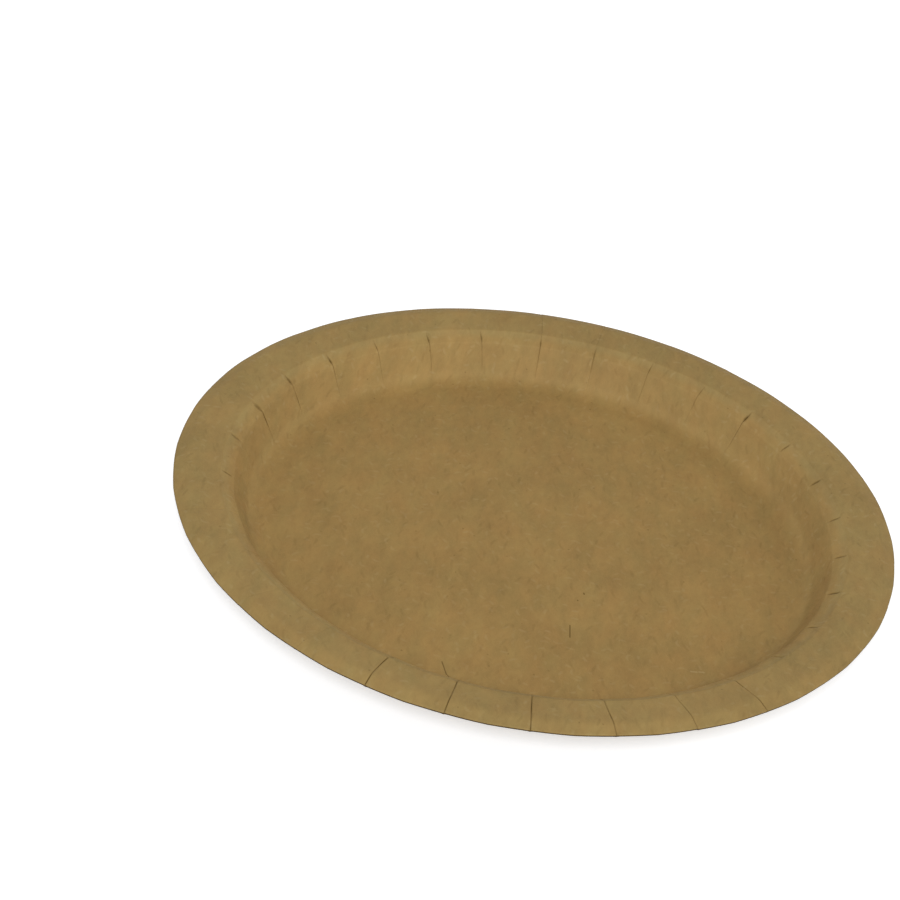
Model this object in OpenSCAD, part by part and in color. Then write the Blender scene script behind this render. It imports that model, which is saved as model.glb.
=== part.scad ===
// Round pressed paperboard plate with a flat well, a steep wall and a wide creased rim.
// Millimetres. Z is up, and the origin is the centre of the face that the plate rests on.

/* [Plate] */
// Outer diameter over the cut edge
plate_d = 230; // [160:1:320]
// Height of the rim's inner corner above the base
well_depth = 15; // [6:0.5:25]
// Horizontal run of the sloping wall, corner to corner
wall_run = 8.25; // [6:0.25:25]
// Width of the rim, from its inner corner to the cut edge
rim_w = 17.25; // [12:0.25:30]
// Thickness of the board
board_t = 0.5; // [0.3:0.05:0.9]

/* [Rim] */
// Width of the bevel that cuts the rim's inner corner, measured across
bevel_w = 3.2; // [1:0.2:5]
// Angle at which the bevel rises outwards
bevel_rise = 25; // [16:1:32]
// Angle at which the inner part of the rim rises outwards
rim_rise = 6.5; // [0:0.5:12]
// Width of the outer lip that turns down again
lip_w = 4.5; // [3:0.5:7]
// Angle at which the lip falls towards the cut edge
lip_drop = 15; // [1:0.5:25]

/* [Bends] */
// Bend radius between the base and the wall
foot_r = 8; // [3:0.5:12]
// Bend radius at both edges of the bevel
bevel_r = 2; // [0.5:0.25:3]
// Bend radius where the rim turns down into the lip
crown_r = 6; // [2:0.5:8]

/* [Creases] */
// Number of radial creases around the wall and rim
crease_n = 30; // [12:1:48]
// Width of a crease line at the cut edge
crease_w = 0.5; // [0.3:0.05:1.2]
// Depth of a crease line in the upper face
crease_depth = 0.2; // [0.1:0.05:0.25]
// Width of the gathered bead under a crease, at the cut edge
bead_w = 1.2; // [0.6:0.1:2.5]
// Height of the gathered bead below the under face
bead_h = 0.2; // [0.1:0.05:0.4]

/* [Hidden] */
$fn = 240;

// Largest turn of one straight step in the bends of the section
bend_step_a = 12;
// How far a crease line starts above the base, so that it fades in along the bend
crease_fade = 0.1;
// Clearance by which the cutting tools pass the faces that they cut
over = 1;
// How far the board and the beads stand out past the cut edge before it is trimmed
board_spare = 0.4;
bead_spare = 0.7;
// Levels inside the board between which a bead is anchored, as shares of its thickness
anchor_low = 0.3;
anchor_high = 0.6;

edge_r = plate_d / 2;
half_t = board_t / 2;
wall_a = atan2(well_depth, wall_run);
crease_pitch = 360 / crease_n;

// Length of the bevel along its own slope
bevel_l = bevel_w / cos(bevel_rise);

// Corners of the board's middle line, before they are bevelled and rounded by the bends
foot = [edge_r - rim_w - wall_run, half_t];
shoulder = foot + [wall_run, well_depth];
bevel_foot = shoulder - along(wall_a) * bevel_l * sin(bevel_rise - rim_rise) / sin(wall_a - rim_rise);
crown = shoulder + (rim_w - lip_w) * [1, tan(rim_rise)];

// Radius on the flat base where the creases and beads are anchored
crease_start_r = foot[0] - foot_r;

function along(a) = [cos(a), sin(a)];
function upward(a) = [-sin(a), cos(a)];

// Point where the line through p at angle a meets the line through q at angle b
function meet(p, a, q, b) = p + along(a) * cross(q - p, along(b)) / cross(along(a), along(b));

// Points of the bend of radius r that rounds a corner, from angle a to angle b
function bend(corner, a, b, r) =
    let (side = sign(b - a), steps = ceil(abs(b - a) / bend_step_a))
    let (centre = corner - along(a) * r * tan(abs(b - a) / 2) + side * r * upward(a))
    [for (i = [0 : steps]) centre - side * r * upward(a + (b - a) * i / steps)];

// Line that runs beside the board's middle line: at height base_z on the base,
// then offset above the middle line by rise on the wall, bevel and rim, from radius r0 to radius r1
function board_line(base_z, rise, r0, r1) =
    let (base = [0, base_z])
    let (wall = foot + rise * upward(wall_a))
    let (bevel = bevel_foot + rise * upward(bevel_rise))
    let (rim = shoulder + rise * upward(rim_rise))
    let (lip = crown + rise * upward(-lip_drop))
    concat(
        [[r0, base_z]],
        bend(meet(base, 0, wall, wall_a), 0, wall_a, foot_r - rise),
        bend(meet(wall, wall_a, bevel, bevel_rise), wall_a, bevel_rise, bevel_r + rise),
        bend(meet(bevel, bevel_rise, rim, rim_rise), bevel_rise, rim_rise, bevel_r + rise),
        bend(meet(rim, rim_rise, lip, -lip_drop), rim_rise, -lip_drop, crown_r + rise),
        [[r1, lip[1] - (r1 - lip[0]) * tan(lip_drop)]]
    );

function backwards(points) = [for (i = [len(points) - 1 : -1 : 0]) points[i]];

// Section between two such lines
module section(lower, upper) {
    polygon(concat(lower, backwards(upper)));
}

// A section swept over a narrow angle at each crease; width is measured at the cut edge
module at_each_crease(width) {
    sweep = width / edge_r * 180 / PI;
    for (i = [0 : crease_n - 1])
        rotate([0, 0, i * crease_pitch - sweep / 2])
            rotate_extrude(angle = sweep)
                children();
}

// The pressed board without its creases, still untrimmed
module board() {
    rotate_extrude()
        section(
            board_line(0, -half_t, 0, edge_r + board_spare),
            board_line(board_t, half_t, 0, edge_r + board_spare)
        );
}

// Gathered board that stands below the wall and rim under each crease
module beads() {
    at_each_crease(bead_w)
        section(
            board_line(anchor_low * board_t, -half_t - bead_h, crease_start_r, edge_r + bead_spare),
            board_line(anchor_high * board_t, 0, crease_start_r, edge_r + bead_spare)
        );
}

// Lines pressed into the upper face, fading in along the bend above the base
module crease_lines() {
    at_each_crease(crease_w)
        section(
            board_line(board_t + crease_fade, half_t - crease_depth, crease_start_r, edge_r + over),
            board_line(board_t + over, half_t + over, crease_start_r, edge_r + over)
        );
}

// Everything outside the round cut edge
module trimmings() {
    difference() {
        cylinder(r = edge_r + over, h = crown[1] + over);
        translate([0, 0, -over])
            cylinder(r = edge_r, h = crown[1] + 3 * over);
    }
}

module plate() {
    color([0.62, 0.47, 0.28])
        difference() {
            union() {
                board();
                beads();
            }
            crease_lines();
            trimmings();
        }
}

plate();
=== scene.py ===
"""Looks of a round pressed kraft plate: its creased board, its fibres, its cut edge and a pale stage."""

import math

import bpy
import numpy as np
from bpy.props import FloatProperty, FloatVectorProperty, IntProperty, PointerProperty
from mathutils import Matrix, Vector


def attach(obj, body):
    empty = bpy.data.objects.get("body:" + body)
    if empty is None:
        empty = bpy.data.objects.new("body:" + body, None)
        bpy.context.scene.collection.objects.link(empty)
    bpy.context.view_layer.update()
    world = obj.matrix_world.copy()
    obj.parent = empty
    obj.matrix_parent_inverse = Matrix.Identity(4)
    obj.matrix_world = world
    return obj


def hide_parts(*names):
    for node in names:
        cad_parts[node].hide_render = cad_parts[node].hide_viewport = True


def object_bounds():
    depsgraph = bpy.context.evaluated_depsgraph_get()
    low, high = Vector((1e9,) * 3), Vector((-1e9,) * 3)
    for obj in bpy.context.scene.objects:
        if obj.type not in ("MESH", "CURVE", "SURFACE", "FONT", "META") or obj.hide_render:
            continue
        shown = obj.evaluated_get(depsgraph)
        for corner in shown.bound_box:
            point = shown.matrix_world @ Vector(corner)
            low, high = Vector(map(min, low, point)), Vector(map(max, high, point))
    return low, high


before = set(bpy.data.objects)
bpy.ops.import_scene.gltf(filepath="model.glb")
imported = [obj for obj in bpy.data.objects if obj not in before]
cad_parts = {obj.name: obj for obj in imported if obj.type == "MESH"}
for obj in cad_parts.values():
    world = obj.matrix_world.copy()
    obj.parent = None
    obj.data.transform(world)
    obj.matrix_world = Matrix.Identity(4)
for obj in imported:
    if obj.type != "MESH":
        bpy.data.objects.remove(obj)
CAD_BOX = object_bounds()

bl_info = {
    "name": "Pressed Kraft Plate",
    "version": (1, 0, 0),
    "blender": (4, 5, 0),
    "location": "3D View > Sidebar > Plate",
    "description": "Builds a creased paper plate over its solid, with kraft board materials and a stage",
    "category": "Object",
}

NODE = "plate"
BODY = "root"
PIECE = "kraft_plate"
BLANK_MAP = "blank"
CREASE_SHADE_MASK = "crease"
LAYER_MASK = "layer"
WALL_SHEEN_MASK = "wall"
RIM_SHEEN_MASK = "rim"
MM = 0.001
FRAME_PX = 900


# Sizes and colours that a user would change


class PlateSizes(bpy.types.PropertyGroup):
    """Section of the plate; the sizes of the solid, with a bevel that is a little steeper"""

    plate_d: FloatProperty(
        name="Diameter", description="Outer diameter over the cut edge",
        default=CAD_BOX[1].x - CAD_BOX[0].x, unit="LENGTH")
    well_depth: FloatProperty(
        name="Well depth", description="Height of the rim's inner corner above the base",
        default=15 * MM, unit="LENGTH")
    wall_run: FloatProperty(
        name="Wall run", description="Horizontal run of the sloping wall, corner to corner",
        default=8.25 * MM, unit="LENGTH")
    rim_w: FloatProperty(
        name="Rim width", description="From the rim's inner corner to the cut edge",
        default=17.25 * MM, unit="LENGTH")
    board_t: FloatProperty(
        name="Board", description="Thickness of the board", default=0.5 * MM, unit="LENGTH")
    bevel_w: FloatProperty(
        name="Bevel width", description="Width of the bevel at the rim's inner corner, measured across",
        default=4.2 * MM, unit="LENGTH")
    bevel_rise: FloatProperty(
        name="Bevel rise", description="Angle at which the bevel rises outwards",
        default=math.radians(38), subtype="ANGLE")
    rim_rise: FloatProperty(
        name="Rim rise", description="Angle at which the rim rises outwards",
        default=math.radians(6.5), subtype="ANGLE")
    lip_w: FloatProperty(
        name="Lip width", description="Width of the outer lip that turns down again",
        default=4.5 * MM, unit="LENGTH")
    lip_drop: FloatProperty(
        name="Lip drop", description="Angle at which the lip falls to the cut edge",
        default=math.radians(15), subtype="ANGLE")
    foot_r: FloatProperty(
        name="Foot bend", description="Bend radius between base and wall",
        default=8 * MM, unit="LENGTH")
    bevel_r: FloatProperty(
        name="Bevel bends", description="Bend radius at both edges of the bevel",
        default=2 * MM, unit="LENGTH")
    crown_r: FloatProperty(
        name="Crown bend", description="Bend radius where the rim turns down into the lip",
        default=6 * MM, unit="LENGTH")


class CreaseLook(bpy.types.PropertyGroup):
    """How the board is gathered at its radial creases"""

    count: IntProperty(name="Creases", description="Radial creases around the plate", default=30)
    line_w: FloatProperty(
        name="Line width", description="Half width of the pressed line in the upper face",
        default=0.14 * MM, unit="LENGTH")
    line_depth: FloatProperty(
        name="Line depth", description="Depth of the pressed line in the upper face",
        default=0.26 * MM, unit="LENGTH")
    bead_w: FloatProperty(
        name="Bead width", description="Half width of the gathered bead under a crease",
        default=0.55 * MM, unit="LENGTH")
    bead_h: FloatProperty(
        name="Bead height", description="Height of the gathered bead under a crease",
        default=0.2 * MM, unit="LENGTH")
    step: FloatProperty(
        name="Pleat step", description="Step between the two sides of a crease",
        default=0.16 * MM, unit="LENGTH")
    step_reach: FloatProperty(
        name="Step reach", description="Distance over which a step dies out",
        default=3 * MM, unit="LENGTH")
    flatness: FloatProperty(
        name="Flatness", description="How far the board between two creases is flattened",
        default=0.4, min=0, max=1, subtype="FACTOR")


class KraftLook(bpy.types.PropertyGroup):
    """Colours of the uncoated brown board"""

    board: FloatVectorProperty(
        name="Board", description="Main colour of the board", size=3, subtype="COLOR",
        default=(0.302, 0.1885, 0.0613))
    dark_fibre: FloatVectorProperty(
        name="Dark fibre", description="Colour of the dark bark fibres", size=3, subtype="COLOR",
        default=(0.104, 0.0574, 0.0139))
    pale_fibre: FloatVectorProperty(
        name="Pale fibre", description="Colour of the pale fibres", size=3, subtype="COLOR",
        default=(0.426, 0.306, 0.139))
    # Painted shade for the bottom of a crease, partly the darker pressed board; also the dark layers of the
    # cut edge
    crease_shade: FloatVectorProperty(
        name="Crease line", description="Colour at the bottom of a crease", size=3, subtype="COLOR",
        default=(0.074, 0.039, 0.0035))
    # The cut edge is darker than the board: partly its raw fibres, partly painted shade for an edge that
    # faces away from the light
    cut: FloatVectorProperty(
        name="Cut edge", description="Colour of the cut edge", size=3, subtype="COLOR",
        default=(0.078, 0.0435, 0.0122))


class StageLook(bpy.types.PropertyGroup):
    """Floor and camera"""

    floor: FloatVectorProperty(
        name="Floor", description="Colour of the pale floor", size=3, subtype="COLOR",
        default=(0.7, 0.7, 0.7))
    camera_place: FloatVectorProperty(
        name="Camera", description="Place of the camera", size=3, subtype="TRANSLATION",
        default=(7.3 * MM, -563.9 * MM, 397.1 * MM))
    camera_heading: FloatProperty(
        name="Heading", description="Turn of the camera about the vertical, from looking along +Y",
        default=math.radians(3.72), subtype="ANGLE")
    camera_pitch: FloatProperty(
        name="Pitch", description="How far the camera looks down",
        default=math.radians(33.35), subtype="ANGLE")
    camera_roll: FloatProperty(
        name="Roll", description="Turn of the camera about its own line of sight",
        default=math.radians(9.06), subtype="ANGLE")
    focal_px: FloatProperty(
        name="Focal length", description="Focal length in pixels of the square picture",
        default=2140.9, subtype="PIXEL")


# Section of the board


# Steps between the stations on each run and bend; those on the base grow finer towards the foot bend
BASE_STEPS = 8
BASE_CROWDING = 1.6
FOOT_STEPS = 12
WALL_STEPS = 8
BEVEL_STEPS = 4
RIM_STEPS = 8
CROWN_STEPS = 6
LIP_STEPS = 5


def heading(slope):
    """Unit vector (r, z) along a slope."""
    return np.array([math.cos(slope), math.sin(slope)])


def bend(corner, a, b, radius, steps):
    """Stations (r, z, slope) round a corner, from slope a to slope b."""
    side = math.copysign(1, b - a)
    reach = radius * math.tan(abs(b - a) / 2)
    start = corner - reach * heading(a)
    centre = start + side * radius * np.array([-math.sin(a), math.cos(a)])
    slopes = np.linspace(a, b, steps + 1)
    normals = np.stack([-np.sin(slopes), np.cos(slopes)], 1)
    return np.column_stack([centre - side * radius * normals, slopes])


def straight(start, end, steps):
    """Stations between the ends of two bends, without those ends."""
    share = np.linspace(0, 1, steps + 1)[1:-1, None]
    return start + (end - start) * share


def middle_line(sizes):
    """Stations of the board's middle line, and the radii where its first bend, bevel and rim begin.

    A station is a row of radius, height, slope and distance along the board from the centre.
    """
    half_t = sizes.board_t / 2
    edge_r = sizes.plate_d / 2
    wall_a = math.atan2(sizes.well_depth, sizes.wall_run)
    foot = np.array([edge_r - sizes.rim_w - sizes.wall_run, half_t])
    shoulder = foot + [sizes.wall_run, sizes.well_depth]
    flat_w = sizes.rim_w - sizes.lip_w
    crown = shoulder + [flat_w, flat_w * math.tan(sizes.rim_rise)]
    edge = crown + [sizes.lip_w, -sizes.lip_w * math.tan(sizes.lip_drop)]
    # The bevel cuts the corner of wall and rim, so the three lines are a triangle
    per_sine = sizes.bevel_w / math.cos(sizes.bevel_rise) / math.sin(wall_a - sizes.rim_rise)
    off_wall = per_sine * math.sin(sizes.bevel_rise - sizes.rim_rise)
    off_rim = per_sine * math.sin(wall_a - sizes.bevel_rise)
    bevel_low = shoulder - off_wall * heading(wall_a)
    bevel_high = shoulder + off_rim * heading(sizes.rim_rise)
    foot_bend = bend(foot, 0, wall_a, sizes.foot_r, FOOT_STEPS)
    low_bend = bend(bevel_low, wall_a, sizes.bevel_rise, sizes.bevel_r, BEVEL_STEPS)
    high_bend = bend(bevel_high, sizes.bevel_rise, sizes.rim_rise, sizes.bevel_r, BEVEL_STEPS)
    crown_bend = bend(crown, sizes.rim_rise, -sizes.lip_drop, sizes.crown_r, CROWN_STEPS)
    edge_row = np.array([[edge[0], edge[1], -sizes.lip_drop]])
    base_r = foot_bend[0, 0] * (1 - np.linspace(1, 0, BASE_STEPS + 1)[1:-1] ** BASE_CROWDING)
    base = np.column_stack([base_r, np.full_like(base_r, half_t), np.zeros_like(base_r)])
    rows = np.vstack([
        base,
        foot_bend,
        straight(foot_bend[-1], low_bend[0], WALL_STEPS),
        low_bend,
        straight(low_bend[-1], high_bend[0], BEVEL_STEPS),
        high_bend,
        straight(high_bend[-1], crown_bend[0], RIM_STEPS),
        crown_bend,
        straight(crown_bend[-1], edge_row[0], LIP_STEPS),
        edge_row,
    ])
    centre = np.array([[0, half_t]])
    steps = np.linalg.norm(np.diff(np.vstack([centre, rows[:, :2]]), axis=0), axis=1)
    return np.column_stack([rows, np.cumsum(steps)]), foot_bend[0, 0], bevel_low[0], bevel_high[0]


def smooth(low, high, value):
    """0 below low, 1 above high and a soft step between them."""
    t = np.clip((value - low) / (high - low), 0, 1)
    return t * t * (3 - 2 * t)


# Creased sheet


# Steps from a crease to the middle of a gore, and how much each grows over the one before
GORE_STEPS = 12
GORE_GROWTH = 1.4

# Stretches of the section over which something fades in: the relief and the painted shade of the creases,
# measured from where the foot bend begins, and the rim's creases and painted sheen, measured from the middle
# of the bevel
RELIEF_FADE = (2 * MM, 7 * MM)
TONE_FADE = (4 * MM, 14 * MM)
RIM_FADE = (-1 * MM, 1.5 * MM)
RIM_SHEEN_FADE = (-1 * MM, 1 * MM)

# How far the bevel's own creases reach from its middle, and the power with which they die out
BEVEL_REACH = 2 * MM
BEVEL_FALLOFF = 4

# Least radius by which distances across the board are turned into angles
LEAST_R = 1 * MM


def gore_azimuths(count):
    """Azimuths around the plate, crowded towards the creases, with each one's crease and offset."""
    half = math.pi / count
    side = np.concatenate([[0], np.cumsum(GORE_GROWTH ** np.arange(GORE_STEPS))])
    side = half * side / side[-1]
    offsets = np.concatenate([-side[-1:0:-1], side[:-1]])
    crease = np.repeat(np.arange(count), len(offsets))
    offset = np.tile(offsets, count)
    return crease * 2 * half + offset, crease, offset


class Sheet:
    """The board as a grid of azimuths and stations.

    A value by azimuth is a column and a value by station is a row, so that the two spread over the grid.
    """

    def __init__(self, sizes, count):
        line, self.bend_r, bevel_in_r, rim_in_r = middle_line(sizes)
        self.r, self.z, self.slope, self.along = line.T
        azimuth, self.crease, offset = gore_azimuths(count)
        self.count = count
        self.half = math.pi / count
        self.gore = (self.crease + (offset >= 0)) % count
        self.azimuth = azimuth[:, None]
        self.offset = offset[:, None]
        self.turning_r = np.maximum(self.r, LEAST_R)
        self.aside = self.offset * self.turning_r
        bevel_ends = np.interp([bevel_in_r, rim_in_r], self.r, self.along)
        self.bevel = bevel_ends.sum() / 2
        self.start = np.interp(self.bend_r, self.r, self.along)
        self.creased = self.fade(self.start, RELIEF_FADE)
        self.on_rim = self.fade(self.bevel, RIM_FADE)
        self.on_bevel = np.exp(-((self.along - self.bevel) / BEVEL_REACH) ** BEVEL_FALLOFF)

    def fade(self, place, stretch):
        """A soft step over a stretch of the section that is measured from a place on it."""
        return smooth(place + stretch[0], place + stretch[1], self.along)

    def by_crease(self, values):
        """A column from one value for each crease."""
        return values[self.crease][:, None]

    def by_gore(self, values):
        """A column from one value for each gore of board between two creases."""
        return values[self.gore][:, None]


# How the creases show, by sector of the plate: the last azimuth of the sector in degrees, counted from
# 0 to 360, the darkness on the wall, on the bevel and on the rim, which sets their depth and their painted
# shade and follows how the light falls in each sector, and the width of the line as a share
CREASE_SECTORS = (
    (40, 0.05, 0.85, 0.0, 1.1),
    (54, 0.5, 0.8, 0.02, 1.0),
    (66, 0.3, 0.2, 0.03, 1.0),
    (78, 0.42, 0.3, 0.06, 1.0),
    (102, 0.42, 0.3, 0.28, 1.0),
    (138, 0.42, 0.3, 0.02, 1.0),
    (150, 0.5, 0.5, 0.03, 1.0),
    (162, 0.6, 0.4, 0.03, 1.1),
    (174, 0.75, 0.5, 0.05, 1.6),
    (186, 0.2, 0.95, 0.03, 1.3),
    (198, 0.1, 0.5, 0.03, 1.1),
    (246, 0.15, 0.15, 0.1, 1.0),
    (318, 0.5, 0.2, 1.0, 1.0),
    (360, 0.05, 0.85, 0.03, 1.1),
)

# Chance of the press: the seed of all draws, and the shares by which it varies the creases' painted shade and
# depth
PRESS_SEED = 23
TONE_SHARES = (0.75, 1.1)
WALL_DEPTHS = (0.75, 1.15)
RIM_DEPTHS = (0.7, 1.1)

# How far a crease wanders from the true radius, and how far into the gores it takes the board along
WANDER = 0.22 * MM
WANDER_REACH = 0.35

# Relief of a crease, as shares: depth of the faintest, extra width of a dark one on the bevel, and the
# place, width and height of the ridges beside it
FAINT_DEPTH = 0.12
BEVEL_WIDENING = 2.6
RIDGE_PLACE = 3.2
RIDGE_W = 1.6
RIDGE_H = 0.18

# Steps of the pleats: the largest one, and the share of it at the faintest crease
STEP_LIMIT = 1.6
FAINT_STEP = 0.15

# Unevenness of the whole plate: lean of the gores, waves and sag of the rim, and dome of the base
GORE_LEAN = 0.1 * MM
RIM_LOBES = (2, 3, 5, 8)
LOBE_SHARES = (0.5, 1)
RIM_WAVE = 0.22 * MM
RIM_SAG = 0.32 * MM
DOME = 0.25 * MM
DOME_REACH = 0.95

# The cut edge: width of the band that follows it, how straight it runs, how far it strays and how far it
# stays inside the full circle
EDGE_BAND = 6 * MM
EDGE_STRAIGHTNESS = 0.6
EDGE_STRAY = 0.12 * MM
EDGE_INSET = 0.05 * MM

# Painted shade along a crease line: length of its swings, how far they reach, and the range where the first
# begins
RAGGED_LENGTH = 1.7 * MM
RAGGED_SHARE = 0.25
RAGGED_START = 6

# Sine of the slope at which the painted sheen on the wall begins and is full
WALL_SINES = (0.35, 0.8)


def crease_tones(rng, sheet):
    """Darkness of the creases over the sheet, which sets their depth and their painted shade, and a column
    with the width of their lines as a share.
    """
    tones, widths = [], []
    for i in range(sheet.count):
        azimuth = 360 * i / sheet.count
        _, *darkness, width = next(row for row in CREASE_SECTORS if azimuth <= row[0])
        tones.append(np.array(darkness) * rng.uniform(*TONE_SHARES, len(darkness)))
        widths.append(width)
    wall, bevel, rim = (sheet.by_crease(column) for column in np.clip(tones, 0, 1).T)
    dark = wall * sheet.fade(sheet.start, TONE_FADE) * (1 - sheet.on_rim) + bevel * sheet.on_bevel
    dark = dark + rim * sheet.on_rim * (1 - sheet.on_bevel)
    return np.clip(dark, 0, 1), sheet.by_crease(np.array(widths))


def wandering_turns(rng, sheet):
    """Azimuths over the sheet, where each crease line wanders a little from the true radius."""
    drift = rng.normal(0, WANDER, (sheet.count, 3))
    bow, swing, skew = (sheet.by_crease(column) for column in drift.T)
    share = np.clip((sheet.along - sheet.start) / (sheet.along[-1] - sheet.start), 0, 1)
    wander = bow * np.sin(math.pi * share) + swing * np.sin(2 * math.pi * share) + skew * share
    nearness = np.exp(-np.abs(sheet.offset) / (WANDER_REACH * sheet.half))
    return sheet.azimuth + wander / sheet.turning_r * nearness * sheet.creased


def crease_relief(rng, sheet, creases, dark, widths):
    """Shifts of the upper and the under face at the creases, and the width of the lines over the sheet."""
    depth = sheet.by_crease(rng.uniform(*WALL_DEPTHS, sheet.count))
    rim_depth = sheet.by_crease(rng.uniform(*RIM_DEPTHS, sheet.count))
    strength = depth * (1 - sheet.on_rim) + rim_depth * sheet.on_rim
    strength = strength * (FAINT_DEPTH + (1 - FAINT_DEPTH) * dark) * sheet.creased
    line_w = creases.line_w * widths * (1 + BEVEL_WIDENING * sheet.on_bevel * dark ** 2)
    valley = np.exp(-(sheet.aside / line_w) ** 2) * strength
    ridges = np.exp(-((np.abs(sheet.aside) / line_w - RIDGE_PLACE) / RIDGE_W) ** 2) * strength * dark
    bead = np.exp(-(sheet.aside / creases.bead_w) ** 2) * strength
    return creases.line_depth * (RIDGE_H * ridges - valley), -creases.bead_h * bead, line_w


def pleat_steps(rng, sheet, creases, dark):
    """Shift of the board where a pleat steps up on one side of a crease and down on the other."""
    height = creases.step / 2 * np.clip(rng.normal(0, 1, sheet.count), -STEP_LIMIT, STEP_LIMIT)
    dying = np.exp(-np.abs(sheet.aside) / creases.step_reach) * sheet.creased
    return sheet.by_crease(height) * np.sign(sheet.offset) * dying * (FAINT_STEP + (1 - FAINT_STEP) * dark)


def leaning_gores(rng, sheet):
    """Shift of the board where each gore leans by a small angle of its own."""
    lean = sheet.by_gore(rng.normal(0, GORE_LEAN, sheet.count))
    across = np.where(sheet.offset >= 0, sheet.offset - sheet.half, sheet.offset + sheet.half) / sheet.half
    return lean * across * (1 - across ** 2) * sheet.creased


def uneven_rim(rng, sheet):
    """Shift of the rim, which sags a little and waves around the plate."""
    wave = np.zeros_like(sheet.azimuth)
    for lobe in RIM_LOBES:
        share = rng.uniform(*LOBE_SHARES)
        wave += share * np.cos(lobe * sheet.azimuth + rng.uniform(0, 2 * math.pi))
    return (RIM_WAVE * wave / len(RIM_LOBES) - RIM_SAG) * sheet.on_rim


def edge_inset(rng, sheet, sizes, chord):
    """How far the cut edge runs inside the full circle, nearly straight between two creases."""
    straightening = EDGE_STRAIGHTNESS * chord * sizes.plate_d / 2
    stray = sheet.by_gore(rng.uniform(0, EDGE_STRAY, sheet.count))
    return (straightening + stray + EDGE_INSET) * sheet.fade(sheet.along[-1], (-EDGE_BAND, 0))


def ragged_line(rng, sheet):
    """Share of its painted shade that a crease line keeps along its length."""
    begin = sheet.by_crease(rng.uniform(0, RAGGED_START, sheet.count))
    return 1 - RAGGED_SHARE + RAGGED_SHARE * np.cos(sheet.along / RAGGED_LENGTH + begin)


def plate_surface(sizes, creases):
    """Vertices of the upper and under face, the masks of painted shade and sheen by name and the coordinates
    on the flat blank.
    """
    rng = np.random.RandomState(PRESS_SEED)
    sheet = Sheet(sizes, creases.count)
    dark, widths = crease_tones(rng, sheet)
    turns = wandering_turns(rng, sheet)
    upper, under, line_w = crease_relief(rng, sheet, creases, dark, widths)
    # The board between two creases is a little flat, which shows where it is steep
    chord = (np.cos(sheet.offset) - math.cos(sheet.half)) * creases.flatness
    middle = chord * sheet.r * np.abs(np.sin(sheet.slope)) * sheet.creased
    middle = middle + pleat_steps(rng, sheet, creases, dark)
    middle = middle + leaning_gores(rng, sheet)
    middle = middle + uneven_rim(rng, sheet)
    middle = middle + DOME * (1 - smooth(0, DOME_REACH * sheet.bend_r, sheet.r))
    inset = edge_inset(rng, sheet, sizes, chord)
    # Painted shade in the creases: a dark line along each one, partly the board pressed darker there
    line = np.exp(-(sheet.aside / line_w) ** 2) * sheet.creased * dark * ragged_line(rng, sheet)

    def face(shift):
        radius = sheet.r - np.sin(sheet.slope) * shift - inset
        height = np.maximum(sheet.z + np.cos(sheet.slope) * shift, 0)
        return np.stack([radius * np.cos(turns), radius * np.sin(turns), height], -1)

    masks = {
        CREASE_SHADE_MASK: line,
        WALL_SHEEN_MASK: np.broadcast_to(smooth(*WALL_SINES, np.sin(sheet.slope)), line.shape),
        RIM_SHEEN_MASK: np.broadcast_to(sheet.fade(sheet.bevel, RIM_SHEEN_FADE), line.shape),
    }
    half_t = sizes.board_t / 2
    blank = np.stack([sheet.along * np.cos(turns), sheet.along * np.sin(turns)], -1)
    return face(middle + upper + half_t), face(middle + under - half_t), masks, blank


# Mesh


# Rings on the cut edge, how far it bulges, and the material slot that its faces take
EDGE_RINGS = 3
EDGE_BULGE = 0.05 * MM
CUT_SLOT = 1

# The under face: its place beside the upper one on the blank map, and the share of the creases' painted shade
# it keeps
UNDER_SHIFT = np.array([1.0, 0.0])
UNDER_CREASE_SHADE = 0.6


def board_rings(upper, edge, under):
    """Values ring by ring: outwards over the upper face, down the cut edge and back over the under face."""
    return np.concatenate([upper.swapaxes(0, 1), edge, under.swapaxes(0, 1)[::-1]])


def held_edge(face):
    """Values of the cut edge that stay what they are at the border of a face."""
    return np.repeat(face[None, :, -1], EDGE_RINGS, axis=0)


def ring_faces(rings, turns):
    """Quads between neighbouring rings, then triangles round the two centres, which follow the rings."""
    here = np.arange(turns)
    after = (here + 1) % turns
    faces = []
    for first in range(0, (rings - 1) * turns, turns):
        second = first + turns
        faces.extend(np.stack([first + here, second + here, second + after, first + after], 1).tolist())
    last, hub = (rings - 1) * turns, rings * turns
    faces.extend(np.stack([np.full(turns, hub), here, after], 1).tolist())
    faces.extend(np.stack([np.full(turns, hub + 1), last + after, last + here], 1).tolist())
    return faces


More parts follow.
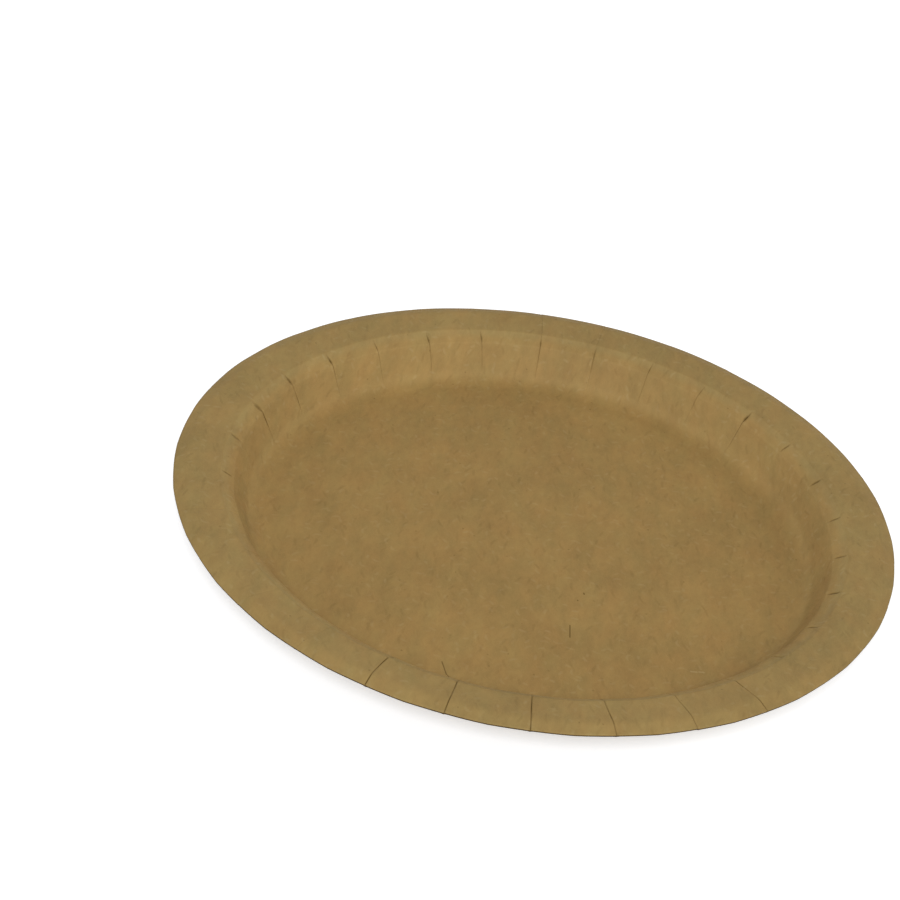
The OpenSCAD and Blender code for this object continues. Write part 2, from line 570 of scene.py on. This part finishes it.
def plate_mesh(sizes, creases):
    """The closed mesh of the plate, with its masks and its blank map."""
    top, low, masks, blank = plate_surface(sizes, creases)
    turns, stations = top.shape[:2]
    share = np.linspace(0, 1, EDGE_RINGS + 2)[1:-1, None, None]
    outward = top[:, -1] * [1, 1, 0]
    outward /= np.linalg.norm(outward, axis=1, keepdims=True)
    edge = top[:, -1] * (1 - share) + low[:, -1] * share + outward * EDGE_BULGE * np.sin(math.pi * share)
    rings = board_rings(top, edge, low)
    hubs = np.stack([face[:, 0].mean(0) * [0, 0, 1] for face in (top, low)])
    mesh = bpy.data.meshes.new(PIECE)
    faces = ring_faces(len(rings), turns)
    mesh.from_pydata(np.vstack([rings.reshape(-1, 3), hubs]).tolist(), [], faces)

    none = np.zeros((turns, stations))
    layer = board_rings(none, np.repeat(share[..., 0], turns, axis=1), none + 1)
    values = {LAYER_MASK: (layer, [0, 1])}
    for name, mask in masks.items():
        below = mask * UNDER_CREASE_SHADE if name == CREASE_SHADE_MASK else mask
        values[name] = (board_rings(mask, held_edge(mask), below), [0, 0])
    for name, (on_rings, on_hubs) in values.items():
        made = mesh.attributes.new(name, "FLOAT", "POINT")
        made.data.foreach_set("value", np.append(on_rings, on_hubs).astype(np.float32))
    maps = board_rings(blank, held_edge(blank), blank + UNDER_SHIFT).reshape(-1, 2)
    maps = np.vstack([maps, [[0, 0]], [UNDER_SHIFT]])
    corner = np.zeros(len(mesh.loops), np.int32)
    mesh.loops.foreach_get("vertex_index", corner)
    uv = mesh.uv_layers.new(name=BLANK_MAP)
    uv.data.foreach_set("uv", maps[corner].astype(np.float32).ravel())
    slots = np.zeros(len(faces), np.int32)
    slots[(stations - 1) * turns:(stations + EDGE_RINGS) * turns] = CUT_SLOT
    mesh.polygons.foreach_set("material_index", slots)
    mesh.polygons.foreach_set("use_smooth", np.ones(len(faces), bool))
    mesh.update()
    mesh.validate()
    return mesh


# Shader node helpers


# Places of the colour sockets among those that a mix node has for each type of data
MIX_A = 6
MIX_B = 7
MIX_RESULT = 2
NUMBER_RESULTS = ("DOT_PRODUCT", "DISTANCE")


def node(tree, kind, **values):
    """A new node of a tree, with properties set by name."""
    made = tree.nodes.new(kind)
    for name, value in values.items():
        setattr(made, name, value)
    return made


def feed(tree, socket, value):
    """Link an output to an input socket, or set the input to a number, a triple or a colour."""
    if isinstance(value, bpy.types.NodeSocket):
        tree.links.new(value, socket)
    elif socket.type == "RGBA":
        socket.default_value = (*value[:3], 1)
    else:
        socket.default_value = value


def feed_all(tree, made, **values):
    """Feed inputs of a node by name, with an underscore for each space."""
    for name, value in values.items():
        feed(tree, made.inputs[name.replace("_", " ")], value)


def math_node(tree, operation, *values, clamp=False):
    """Output of a math node; the values are sockets or numbers."""
    made = node(tree, "ShaderNodeMath", operation=operation, use_clamp=clamp)
    for socket, value in zip(made.inputs, values):
        feed(tree, socket, value)
    return made.outputs["Value"]


def fold(tree, operation, terms):
    """One output from several, which a math operation joins two at a time."""
    total = terms[0]
    for term in terms[1:]:
        total = math_node(tree, operation, total, term)
    return total


def vector_node(tree, operation, *values):
    """Output of a vector math node; the values are sockets or triples."""
    made = node(tree, "ShaderNodeVectorMath", operation=operation)
    for socket, value in zip(made.inputs, values):
        feed(tree, socket, value)
    return made.outputs["Value" if operation in NUMBER_RESULTS else "Vector"]


def scaled(tree, vector, scale):
    """A vector or colour times a number."""
    made = node(tree, "ShaderNodeVectorMath", operation="SCALE")
    feed(tree, made.inputs[0], vector)
    feed(tree, made.inputs["Scale"], scale)
    return made.outputs["Vector"]


def turned(tree, vector, angle):
    """A vector turned about Z."""
    made = node(tree, "ShaderNodeVectorRotate", rotation_type="Z_AXIS")
    feed_all(tree, made, Vector=vector, Angle=angle)
    return made.outputs["Vector"]


def map_range(tree, value, low, high, to_low=0.0, to_high=1.0):
    """Output of a clamped linear map of a value."""
    made = node(tree, "ShaderNodeMapRange", clamp=True)
    feed_all(tree, made, Value=value, From_Min=low, From_Max=high, To_Min=to_low, To_Max=to_high)
    return made.outputs["Result"]


def mix_colour(tree, share, a, b):
    """Output of a colour mix; a and b are sockets or colours."""
    made = node(tree, "ShaderNodeMix", data_type="RGBA", clamp_factor=True)
    feed(tree, made.inputs["Factor"], share)
    feed(tree, made.inputs[MIX_A], a)
    feed(tree, made.inputs[MIX_B], b)
    return made.outputs[MIX_RESULT]


def noise(tree, vector, scale, detail, roughness=0.5):
    """Outputs of a noise texture."""
    made = node(tree, "ShaderNodeTexNoise", noise_dimensions="3D")
    feed_all(tree, made, Vector=vector, Scale=scale, Detail=detail, Roughness=roughness)
    return made.outputs


def new_group(name, inputs, outputs):
    """A shader node group with named sockets; returns the tree and its input and output sockets."""
    tree = bpy.data.node_groups.new(name, "ShaderNodeTree")
    for title, kind, default in inputs:
        socket = tree.interface.new_socket(name=title, in_out="INPUT", socket_type=kind)
        if default is not None:
            socket.default_value = default
    for title, kind in outputs:
        tree.interface.new_socket(name=title, in_out="OUTPUT", socket_type=kind)
    return tree, node(tree, "NodeGroupInput").outputs, node(tree, "NodeGroupOutput").inputs


def place_group(tree, group, **values):
    """Outputs of a group placed in a tree; values are fed by socket name."""
    made = node(tree, "ShaderNodeGroup", node_tree=group)
    feed_all(tree, made, **values)
    return made.outputs


# Shader node groups; their vectors are in millimetres on the flat blank


# Middle of what a noise or a random draw gives, from 0 to 1
MIDDLE = 0.5

# A scattered fibre: half lengths of the shortest and the longest as shares of the length, sharpness of its
# taper, soft border as a share of the width, strength of the faintest, and the board's machine direction
HALF_LENGTHS = (0.25, 0.5)
TAPER = 3.0
SOFT_BORDER = 0.7
FAINTEST = 0.2
MACHINE_TURN = math.pi / 2


def scattered_fibres_group():
    """Single fibres, one to a cell, each with its own turn, bend and length."""
    tree, into, out = new_group(
        "Scattered fibres",
        [("Vector", "NodeSocketVector", None), ("Cell", "NodeSocketFloat", 5.0),
         ("Length", "NodeSocketFloat", 2.5), ("Width", "NodeSocketFloat", 0.1),
         ("Bend", "NodeSocketFloat", 0.1), ("Share", "NodeSocketFloat", 0.5),
         ("Spread", "NodeSocketFloat", 3.14)],
        [("Mask", "NodeSocketFloat")])
    cells = node(tree, "ShaderNodeTexVoronoi", voronoi_dimensions="2D", feature="F1")
    per_mm = math_node(tree, "DIVIDE", 1.0, into["Cell"])
    feed_all(tree, cells, Vector=into["Vector"], Scale=per_mm, Randomness=1.0)
    draw = node(tree, "ShaderNodeSeparateColor")
    feed_all(tree, draw, Color=cells.outputs["Color"])
    turn_draw, shape_draw, share_draw = draw.outputs
    # Fibres lie about the machine direction, which is along Y
    turn = math_node(tree, "MULTIPLY", math_node(tree, "SUBTRACT", turn_draw, MIDDLE), into["Spread"])
    turn = math_node(tree, "ADD", turn, MACHINE_TURN)
    split = node(tree, "ShaderNodeSeparateXYZ")
    local = vector_node(tree, "SUBTRACT", into["Vector"], cells.outputs["Position"])
    feed_all(tree, split, Vector=turned(tree, local, turn))
    lengthwise, sideways, _ = split.outputs
    # The fibre is a shallow curve that narrows towards its ends
    curve = math_node(tree, "MULTIPLY", math_node(tree, "SUBTRACT", shape_draw, MIDDLE), into["Bend"])
    bow = math_node(tree, "MULTIPLY", math_node(tree, "POWER", lengthwise, 2.0), curve)
    aside = math_node(tree, "ABSOLUTE", math_node(tree, "SUBTRACT", sideways, bow))
    half = math_node(tree, "MULTIPLY", into["Length"], map_range(tree, shape_draw, 0, 1, *HALF_LENGTHS))
    end = math_node(tree, "DIVIDE", math_node(tree, "ABSOLUTE", lengthwise), half)
    taper = math_node(tree, "SUBTRACT", 1.0, math_node(tree, "POWER", end, TAPER), clamp=True)
    wide = math_node(tree, "MULTIPLY", math_node(tree, "MULTIPLY", into["Width"], 0.5), taper)
    border = math_node(tree, "MULTIPLY", into["Width"], SOFT_BORDER)
    mask = map_range(tree, math_node(tree, "SUBTRACT", aside, wide), 0.0, border, 1.0, 0.0)
    mask = math_node(tree, "MULTIPLY", mask, taper)
    # Cells past the share stay empty, and the fibres of the others are faint to strong
    strength = map_range(tree, share_draw, 0.0, into["Share"], 1.0, FAINTEST)
    drawn = math_node(tree, "LESS_THAN", share_draw, into["Share"])
    strength = math_node(tree, "MULTIPLY", strength, drawn)
    feed(tree, out["Mask"], math_node(tree, "MULTIPLY", mask, strength))
    return tree


# Felted fibres: turns of their layers in radians, shift of a layer for each radian, detail and roughness of
# a layer, scale and push of the warp that bends them, and the range of values that is spread from 0 to 1
FELT_TURNS = (0.75, 1.3, 1.75, 2.5)
FELT_SHIFT = (7.3, 3.1, 1.0)
FELT_DETAIL = 1.5
FELT_ROUGHNESS = 0.6
FELT_WARP = 0.35
FELT_PUSH = 2.2
FELT_RANGE = (0.45, 0.85)


def felted_streaks_group():
    """Fine felted fibres that lie in all directions."""
    tree, into, out = new_group(
        "Felted streaks",
        [("Vector", "NodeSocketVector", None), ("Length", "NodeSocketFloat", 2.4),
         ("Width", "NodeSocketFloat", 0.14)],
        [("Value", "NodeSocketFloat")])
    warp = noise(tree, into["Vector"], FELT_WARP, detail=1.0)["Color"]
    push = scaled(tree, vector_node(tree, "SUBTRACT", warp, (MIDDLE, MIDDLE, MIDDLE)), FELT_PUSH)
    pushed = vector_node(tree, "ADD", into["Vector"], push)
    stretch = node(tree, "ShaderNodeCombineXYZ")
    feed_all(tree, stretch, X=math_node(tree, "DIVIDE", 1.0, into["Length"]),
             Y=math_node(tree, "DIVIDE", 1.0, into["Width"]))
    layers = []
    for turn in FELT_TURNS:
        laid = vector_node(tree, "MULTIPLY", turned(tree, pushed, turn), stretch.outputs["Vector"])
        laid = vector_node(tree, "ADD", laid, tuple(turn * shift for shift in FELT_SHIFT))
        layers.append(noise(tree, laid, 1.0, FELT_DETAIL, FELT_ROUGHNESS)["Fac"])
    feed(tree, out["Value"], map_range(tree, fold(tree, "MAXIMUM", layers), *FELT_RANGE))
    return tree


# Core of a placed fibre as a share of its width
PLACED_CORE = 0.2


def placed_fibre_group():
    """One fibre along a straight stretch of the blank."""
    tree, into, out = new_group(
        "Placed fibre",
        [("Vector", "NodeSocketVector", None), ("Start", "NodeSocketVector", (0, 0, 0)),
         ("End", "NodeSocketVector", (1, 0, 0)), ("Width", "NodeSocketFloat", 0.2)],
        [("Mask", "NodeSocketFloat")])
    run = vector_node(tree, "SUBTRACT", into["End"], into["Start"])
    local = vector_node(tree, "SUBTRACT", into["Vector"], into["Start"])
    share = math_node(tree, "DIVIDE", vector_node(tree, "DOT_PRODUCT", local, run),
                      vector_node(tree, "DOT_PRODUCT", run, run), clamp=True)
    away = vector_node(tree, "DISTANCE", local, scaled(tree, run, share))
    core = math_node(tree, "MULTIPLY", into["Width"], PLACED_CORE)
    border = math_node(tree, "MULTIPLY", into["Width"], SOFT_BORDER)
    feed(tree, out["Mask"], map_range(tree, away, core, border, 1.0, 0.0))
    return tree


# Cloudy patterns of the pulp: stretch and shift of the pattern, scale per millimetre, detail and roughness
PULP_PATTERNS = {
    "broad": ((1.0, 1.0, 1.0), (1384.0, 728.0, 0.0), 0.022, 2.0, 0.5),
    "clouds": ((1.0, 0.5, 1.0), (0.0, 0.0, 0.0), 0.12, 2.0, 0.5),
    "flocs": ((1.0, 0.5, 1.0), (53.0, 29.0, 3.0), 0.45, 3.0, 0.55),
    "drift": ((1.0, 0.5, 1.0), (311.0, 97.0, 5.0), 0.16, 3.0, 0.5),
}
FELT_LENGTH = 2.4
FELT_WIDTH = 0.16

# How far the patterns swing the board's tone and roughness, and how much they raise its face
TONE_SWINGS = (("broad", 0.34), ("clouds", 0.26), ("flocs", 0.3), ("felt", 0.16))
ROUGHNESS = 0.62
ROUGHNESS_SWINGS = (("felt", -0.12), ("flocs", 0.1))
FACE_HEIGHTS = (("felt", 0.55), ("flocs", 0.9), ("pale", 0.3))

# Redder and greener pulp, and the range of the pattern over which one passes into the other
REDDER = (1.025, 0.988, 0.98)
GREENER = (0.975, 1.012, 1.02)
DRIFT_RANGE = (0.3, 0.7)

# Kinds of single fibre: name, shift of the pattern, cell, length and width in millimetres, bend, share of
# cells that hold one, and spread of direction in radians
FIBRE_KINDS = (
    ("fine", (41.0, 13.0, 0.0), 2.0, 2.6, 0.22, 0.8, 0.7, 2.0),
    ("pale", (19.0, -33.0, 0.0), 3.8, 3.8, 0.5, 0.6, 0.6, 3.14),
    ("dark", (0.0, 0.0, 0.0), 4.8, 6.0, 0.48, 0.2, 0.6, 1.2),
    ("speck", (-27.0, 61.0, 0.0), 9.5, 0.9, 0.36, 0.0, 0.35, 3.14),
)

# How strongly each kind tints the board, and with which colour
FIBRE_TINTS = (
    ("fine", 0.035, "Dark fibre"),
    ("pale", 0.19, "Pale fibre"),
    ("dark", 0.16, "Dark fibre"),
    ("speck", 0.4, "Dark fibre"),
)


def kraft_board_group(scattered, felted):
    """Colour, roughness and height of uncoated kraft board."""
    tree, into, out = new_group(
        "Kraft board",
        [("Vector", "NodeSocketVector", None), ("Board", "NodeSocketColor", (0.3, 0.2, 0.08, 1)),
         ("Dark fibre", "NodeSocketColor", (0.1, 0.06, 0.02, 1)),
         ("Pale fibre", "NodeSocketColor", (0.45, 0.33, 0.16, 1)), ("Contrast", "NodeSocketFloat", 1.0)],
        [("Color", "NodeSocketColor"), ("Roughness", "NodeSocketFloat"), ("Height", "NodeSocketFloat")])
    vector, contrast = into["Vector"], into["Contrast"]
    felt = place_group(tree, felted, Vector=vector, Length=FELT_LENGTH, Width=FELT_WIDTH)
    patterns = {"felt": felt["Value"]}
    for name, (stretch, shift, scale, detail, roughness) in PULP_PATTERNS.items():
        laid = vector_node(tree, "ADD", vector_node(tree, "MULTIPLY", vector, stretch), shift)
        patterns[name] = noise(tree, laid, scale, detail, roughness)["Fac"]
    for name, shift, cell, length, width, bow, share, spread in FIBRE_KINDS:
        moved = vector_node(tree, "ADD", vector, shift)
        patterns[name] = place_group(tree, scattered, Vector=moved, Cell=cell, Length=length, Width=width,
                                     Bend=bow, Share=share, Spread=spread)["Mask"]

    def swing(swings):
        terms = []
        for name, amount in swings:
            centred = math_node(tree, "SUBTRACT", patterns[name], MIDDLE)
            terms.append(math_node(tree, "MULTIPLY", centred, amount))
        return fold(tree, "ADD", terms)

    tone = math_node(tree, "ADD", math_node(tree, "MULTIPLY", swing(TONE_SWINGS), contrast), 1.0)
    colour = scaled(tree, into["Board"], tone)
    colour = mix_colour(tree, map_range(tree, patterns["drift"], *DRIFT_RANGE),
                        vector_node(tree, "MULTIPLY", colour, REDDER),
                        vector_node(tree, "MULTIPLY", colour, GREENER))
    for name, amount, shade in FIBRE_TINTS:
        share = math_node(tree, "MULTIPLY", math_node(tree, "MULTIPLY", patterns[name], amount), contrast)
        colour = mix_colour(tree, share, colour, into[shade])
    feed(tree, out["Color"], colour)
    feed(tree, out["Roughness"], math_node(tree, "ADD", swing(ROUGHNESS_SWINGS), ROUGHNESS, clamp=True))
    heights = [math_node(tree, "MULTIPLY", patterns[name], amount) for name, amount in FACE_HEIGHTS]
    feed(tree, out["Height"], fold(tree, "ADD", heights))
    return tree


# Materials


SPECULAR = 0.1
FLOOR_ROUGHNESS = 0.9
FACE_BUMP = 0.035 * MM

# Fibres that stand out on the board: start and end on the blank in millimetres, width, and whether pale
PLACED_FIBRES = (
    ((18.0, -44.8, 0), (18.6, -50.6, 0), 0.42, False),
    ((-17.1, -74.0, 0), (-15.0, -79.2, 0), 0.36, False),
    ((-15.0, -79.2, 0), (-14.0, -80.2, 0), 0.28, False),
    ((20.5, -27.4, 0), (20.7, -28.0, 0), 0.5, False),
    ((19.0, -31.6, 0), (19.1, -31.9, 0), 0.4, False),
    ((55.9, -55.3, 0), (57.6, -55.0, 0), 0.7, True),
    ((58.4, -54.7, 0), (59.7, -54.5, 0), 0.7, True),
)
PLACED_PALE = 0.4
PLACED_DARK = 0.8

# Painted sheen: the wall and the rim are tinted paler and bluer, for the light that they reflect towards the
# camera
PAINTED_SHEEN_TINTS = (
    (WALL_SHEEN_MASK, (1.15, 1.19, 1.28)),
    (RIM_SHEEN_MASK, (0.981, 1.04, 1.107)),
)

# The cut edge: contrast of its fibres, number of layers, scale of their raggedness per millimetre, turn of
# the wave for each layer in radians, darkest share, height of the layers and depth of the bump
CUT_CONTRAST = 1.5
CUT_LAYERS = 9.0
CUT_RAGGED = 0.8
CUT_WAVE = 4.0
CUT_SHADE = 0.35
CUT_RELIEF = 0.4
CUT_BUMP = 0.05 * MM


def new_material(name):
    """A material with a bare Principled shader; returns it, its tree and the shader."""
    material = bpy.data.materials.new(name)
    material.use_nodes = True
    tree = material.node_tree
    shader = tree.nodes["Principled BSDF"]
    shader.inputs["Specular IOR Level"].default_value = SPECULAR
    return material, tree, shader


def attribute(tree, name):
    """Output value of a mesh attribute."""
    return node(tree, "ShaderNodeAttribute", attribute_name=name).outputs["Fac"]


def bump(tree, height, distance):
    """Normal of a bump."""
    made = node(tree, "ShaderNodeBump")
    feed_all(tree, made, Strength=1.0, Distance=distance, Height=height)
    return made.outputs["Normal"]


def face_material(look, board, placed):
    """Both faces of the board, with painted shade in the creases and painted sheen on the wall and the rim.
    """
    material, tree, shader = new_material("kraft_face")
    vector = scaled(tree, node(tree, "ShaderNodeUVMap", uv_map=BLANK_MAP).outputs["UV"], 1 / MM)
    kraft = place_group(tree, board, Vector=vector, Board=look.board, Dark_fibre=look.dark_fibre,
                        Pale_fibre=look.pale_fibre, Contrast=1.0)
    colour = kraft["Color"]
    for start, end, width, is_pale in PLACED_FIBRES:
        mask = place_group(tree, placed, Vector=vector, Start=start, End=end, Width=width)["Mask"]
        shade, strength = (look.pale_fibre, PLACED_PALE) if is_pale else (look.dark_fibre, PLACED_DARK)
        colour = mix_colour(tree, math_node(tree, "MULTIPLY", mask, strength), colour, shade)
    # Painted sheen on the wall and the rim, paler and bluer, mixed in by their masks
    for name, tint in PAINTED_SHEEN_TINTS:
        drawn = mix_colour(tree, attribute(tree, name), (1, 1, 1), tint)
        colour = vector_node(tree, "MULTIPLY", colour, drawn)
    # Painted shade at the bottom of each crease, partly the darker pressed board
    colour = mix_colour(tree, attribute(tree, CREASE_SHADE_MASK), colour, look.crease_shade)
    feed_all(tree, shader, Base_Color=colour, Roughness=kraft["Roughness"],
             Normal=bump(tree, kraft["Height"], FACE_BUMP))
    return material


def cut_material(look, board):
    """The cut edge, where the layers of the board show as fine lines; its dark colour is partly painted
    shade.
    """
    material, tree, shader = new_material("kraft_cut_edge")
    vector = scaled(tree, node(tree, "ShaderNodeTexCoord").outputs["Object"], 1 / MM)
    kraft = place_group(tree, board, Vector=vector, Board=look.cut, Dark_fibre=look.dark_fibre,
                        Pale_fibre=look.board, Contrast=CUT_CONTRAST)
    layers = math_node(tree, "MULTIPLY", attribute(tree, LAYER_MASK), CUT_LAYERS)
    layers = math_node(tree, "ADD", layers, noise(tree, vector, CUT_RAGGED, detail=2.0)["Fac"])
    layers = math_node(tree, "SINE", math_node(tree, "MULTIPLY", layers, CUT_WAVE))
    share = map_range(tree, layers, -1.0, 1.0, 0.0, CUT_SHADE)
    colour = mix_colour(tree, share, kraft["Color"], look.crease_shade)
    height = math_node(tree, "ADD", kraft["Height"], math_node(tree, "MULTIPLY", layers, CUT_RELIEF))
    feed_all(tree, shader, Base_Color=colour, Roughness=kraft["Roughness"],
             Normal=bump(tree, height, CUT_BUMP))
    return material


def camera_seen(tree):
    """1 for the rays on which the background shows: camera, glossy and transmission rays."""
    path = node(tree, "ShaderNodeLightPath").outputs
    seen = math_node(tree, "MAXIMUM", path["Is Camera Ray"], path["Is Glossy Ray"])
    return math_node(tree, "MAXIMUM", seen, path["Is Transmission Ray"])


def floor_material(colour, lift):
    """A pale floor that reads as white to the camera and still takes shadows."""
    material, tree, shader = new_material("pale_floor")
    feed_all(tree, shader, Base_Color=colour, Roughness=FLOOR_ROUGHNESS)
    glow = node(tree, "ShaderNodeEmission")
    feed_all(tree, glow, Strength=math_node(tree, "MULTIPLY", camera_seen(tree), lift))
    total = node(tree, "ShaderNodeAddShader")
    feed(tree, total.inputs[0], shader.outputs["BSDF"])
    feed(tree, total.inputs[1], glow.outputs["Emission"])
    feed_all(tree, tree.nodes["Material Output"], Surface=total.outputs["Shader"])
    return material


# Stage


# Half side of the floor, its gap under the plate and its glow to the camera, and the strength of the sky
FLOOR_HALF = 2.0
FLOOR_GAP = 0.1 * MM
FLOOR_LIFT = 0.56
AMBIENT = 0.51

# Soft lamps: name, place, size, power in watts and colour; each looks at the plate
LAMPS = (
    ("front_softbox", (0.0, -1.263, 1.138), 0.5, 16.6, (0.96, 1.0, 1.07)),
    ("right_softbox", (5.09, 0.0, 3.18), 2.4, 41.4, (1.05, 1.01, 0.9)),
    ("back_softbox", (0.0, 4.6, 3.86), 2.4, 5.8, (1.0, 1.0, 1.0)),
)


def add_floor(scene, look):
    """A wide pale floor just under the plate."""
    half, low = FLOOR_HALF, -FLOOR_GAP
    mesh = bpy.data.meshes.new("floor")
    corners = [(-half, -half, low), (half, -half, low), (half, half, low), (-half, half, low)]
    mesh.from_pydata(corners, [], [(0, 1, 2, 3)])
    mesh.materials.append(floor_material(look.floor, FLOOR_LIFT))
    floor = bpy.data.objects.new("floor", mesh)
    scene.collection.objects.link(floor)


def add_lights(scene):
    """Large soft lamps that all look at the plate."""
    for name, place, size, power, colour in LAMPS:
        lamp = bpy.data.lights.new(name, "AREA")
        lamp.shape = "DISK"
        lamp.size = size
        lamp.energy = power
        lamp.color = colour
        made = bpy.data.objects.new(name, lamp)
        made.location = place
        made.rotation_euler = (-Vector(place)).to_track_quat("-Z", "Y").to_euler()
        scene.collection.objects.link(made)


def add_world(scene):
    """An even grey sky that the camera sees as white."""
    world = bpy.data.worlds.new("studio")
    scene.world = world
    world.use_nodes = True
    tree = world.node_tree
    strength = map_range(tree, camera_seen(tree), 0, 1, AMBIENT, 1.0)
    feed_all(tree, tree.nodes["Background"], Color=(1, 1, 1), Strength=strength)


def add_camera(scene, look):
    """The camera at the photograph's viewing angle."""
    data = bpy.data.cameras.new("camera")
    data.lens = look.focal_px / FRAME_PX * data.sensor_width
    camera = bpy.data.objects.new("camera", data)
    turn = Matrix.Rotation(look.camera_heading, 4, "Z")
    tilt = Matrix.Rotation(math.pi / 2 - look.camera_pitch, 4, "X")
    roll = Matrix.Rotation(look.camera_roll, 4, "Z")
    camera.matrix_world = Matrix.Translation(look.camera_place) @ turn @ tilt @ roll
    scene.collection.objects.link(camera)
    scene.camera = camera


# Operators and panel


class PLATE_OT_build(bpy.types.Operator):
    """Build the creased plate over its solid"""

    bl_idname = "plate.build"
    bl_label = "Build plate"

    def execute(self, context):
        scene = context.scene
        mesh = plate_mesh(scene.plate_sizes, scene.plate_creases)
        board = kraft_board_group(scattered_fibres_group(), felted_streaks_group())
        mesh.materials.append(face_material(scene.plate_kraft, board, placed_fibre_group()))
        mesh.materials.append(cut_material(scene.plate_kraft, board))
        piece = bpy.data.objects.new(PIECE, mesh)
        scene.collection.objects.link(piece)
        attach(piece, BODY)
        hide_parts(NODE)
        return {"FINISHED"}


class PLATE_OT_stage(bpy.types.Operator):
    """Set the floor, the light and the camera"""

    bl_idname = "plate.stage"
    bl_label = "Set stage"

    def execute(self, context):
        scene = context.scene
        look = scene.plate_stage
        add_floor(scene, look)
        add_lights(scene)
        add_world(scene)
        add_camera(scene, look)
        scene.view_settings.view_transform = "Standard"
        return {"FINISHED"}


class PLATE_PT_panel(bpy.types.Panel):
    """Sizes, colours and builders of the plate"""

    bl_idname = "PLATE_PT_panel"
    bl_label = "Pressed kraft plate"
    bl_space_type = "VIEW_3D"
    bl_region_type = "UI"
    bl_category = "Plate"

    def draw(self, context):
        scene = context.scene
        for group in (scene.plate_sizes, scene.plate_creases, scene.plate_kraft, scene.plate_stage):
            box = self.layout.box()
            for name in group.__annotations__:
                box.prop(group, name)
        self.layout.operator(PLATE_OT_build.bl_idname)
        self.layout.operator(PLATE_OT_stage.bl_idname)


GROUPS = (
    ("plate_sizes", PlateSizes),
    ("plate_creases", CreaseLook),
    ("plate_kraft", KraftLook),
    ("plate_stage", StageLook),
)
CLASSES = tuple(group for _, group in GROUPS) + (PLATE_OT_build, PLATE_OT_stage, PLATE_PT_panel)


def register():
    """Register the classes and hang the property groups on the scene."""
    for cls in CLASSES:
        bpy.utils.register_class(cls)
    for name, group in GROUPS:
        setattr(bpy.types.Scene, name, PointerProperty(type=group))


def unregister():
    """Undo what register did, in reverse."""
    for name, _ in GROUPS:
        delattr(bpy.types.Scene, name)
    for cls in reversed(CLASSES):
        bpy.utils.unregister_class(cls)


def main():
    """Register the classes, build the plate, then set the stage."""
    register()
    bpy.ops.plate.build()
    bpy.ops.plate.stage()


if __name__ == "__main__":
    main()
